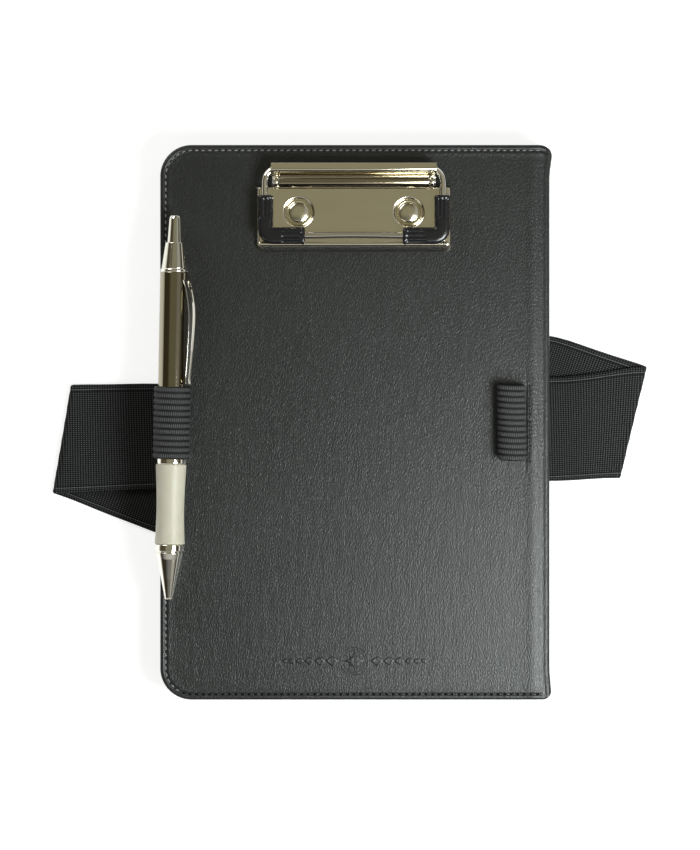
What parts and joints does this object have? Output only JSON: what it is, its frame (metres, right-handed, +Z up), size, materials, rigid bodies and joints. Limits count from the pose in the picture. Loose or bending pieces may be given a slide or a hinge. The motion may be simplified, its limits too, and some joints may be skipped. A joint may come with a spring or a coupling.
{
  "type": "pilot kneeboard log folio",
  "caption": "Book-like leatherette kneeboard folio with a sprung wire-bail clip, pen in an elastic loop, spare loop and a folded leg strap.",
  "frame": {"origin": "middle of the object's footprint, on the surface it lies on", "axes": "+X towards the spine, +Y towards the clip, +Z up out of the front cover"},
  "size_m": [0.225, 0.212, 0.0323],
  "materials": {
    "cover_leather": "fine pebbled black leatherette, satin",
    "board": "grey board",
    "lining": "black woven lining",
    "card": "smooth dark blue card",
    "paper": "uncoated paper",
    "staple_steel": "drawn steel",
    "strap_elastic": "black ribbed elastic webbing",
    "hook_tape": "black hook tape",
    "clip_nickel": "nickel plate, bright",
    "bail_chrome": "bright chrome wire",
    "sleeve_plastic": "black moulded plastic",
    "loop_elastic": "black coarse ribbed elastic",
    "pen_chrome": "polished chrome",
    "pen_grip_rubber": "frosted pale silicone rubber",
    "pen_plastic": "moulded plastic",
    "refill_brass": "brass"
  },
  "bodies": {
    "back_cover": {"back_leather": "cover_leather", "back_board": "board", "back_lining": "lining", "book_pocket": "lining", "log_book_cover": "card", "log_pages": "paper", "log_staples": "staple_steel", "leg_strap": "strap_elastic", "hook_patch": "hook_tape", "strap_keeper": "cover_leather"},
    "spine": {"spine_leather": "cover_leather", "spine_board": "board", "spine_lining": "lining"},
    "front_cover": {"front_leather": "cover_leather", "front_board": "board", "front_lining": "lining", "document_pocket": "lining", "card_pocket": "lining", "pen_loop": "loop_elastic", "spare_loop": "loop_elastic", "clip_plate": "clip_nickel", "clip_rivets": "clip_nickel", "rivet_washers": "staple_steel", "clip_pin": "staple_steel"},
    "clip_jaw": {"clip_lever": "clip_nickel", "wire_bail": "bail_chrome", "sleeve_left": "sleeve_plastic", "sleeve_right": "sleeve_plastic", "torsion_spring": "staple_steel"},
    "pen": {"pen_cone": "pen_chrome", "pen_trim_ring": "pen_chrome", "pen_barrel": "pen_chrome", "pen_clip": "pen_chrome", "pen_lower_ring": "pen_chrome", "pen_grip_core": "pen_plastic", "pen_grip": "pen_grip_rubber", "pen_tip": "pen_chrome", "pen_spring": "staple_steel"},
    "pen_click": {"pen_button": "pen_chrome", "pen_cam": "pen_plastic", "pen_refill": "refill_brass", "pen_point": "refill_brass"}
  },
  "joints": [
    {"name": "spine_fold", "type": "hinge", "parent": "back_cover", "child": "spine", "pos_m": [0.0775, 0, 0.0042], "axis": [0, 1, 0], "range_deg": [0, 75]},
    {"name": "cover_open", "type": "hinge", "parent": "spine", "child": "front_cover", "pos_m": [0.0775, 0, 0.01775], "axis": [0, 1, 0], "range_deg": [0, 75]},
    {"name": "clip_press", "type": "hinge", "parent": "front_cover", "child": "clip_jaw", "pos_m": [0.002, 0.0918, 0.0238], "axis": [-1, 0, 0], "range_deg": [0, 35], "stiffness_Nm_per_rad": 0.15, "springref_deg": -20.05},
    {"name": "pen_pull", "type": "slide", "parent": "front_cover", "child": "pen", "axis": [0.018, 0.9998, 0], "range_m": [0, 0.085]},
    {"name": "pen_press", "type": "slide", "parent": "pen", "child": "pen_click", "axis": [-0.018, -0.9998, 0], "range_m": [0, 0.005], "stiffness_N_per_m": 300, "springref_m": -0.002}
  ],
  "couplings": [
    {"joint": "cover_open", "follows": "spine_fold", "ratio": 1}
  ]
}
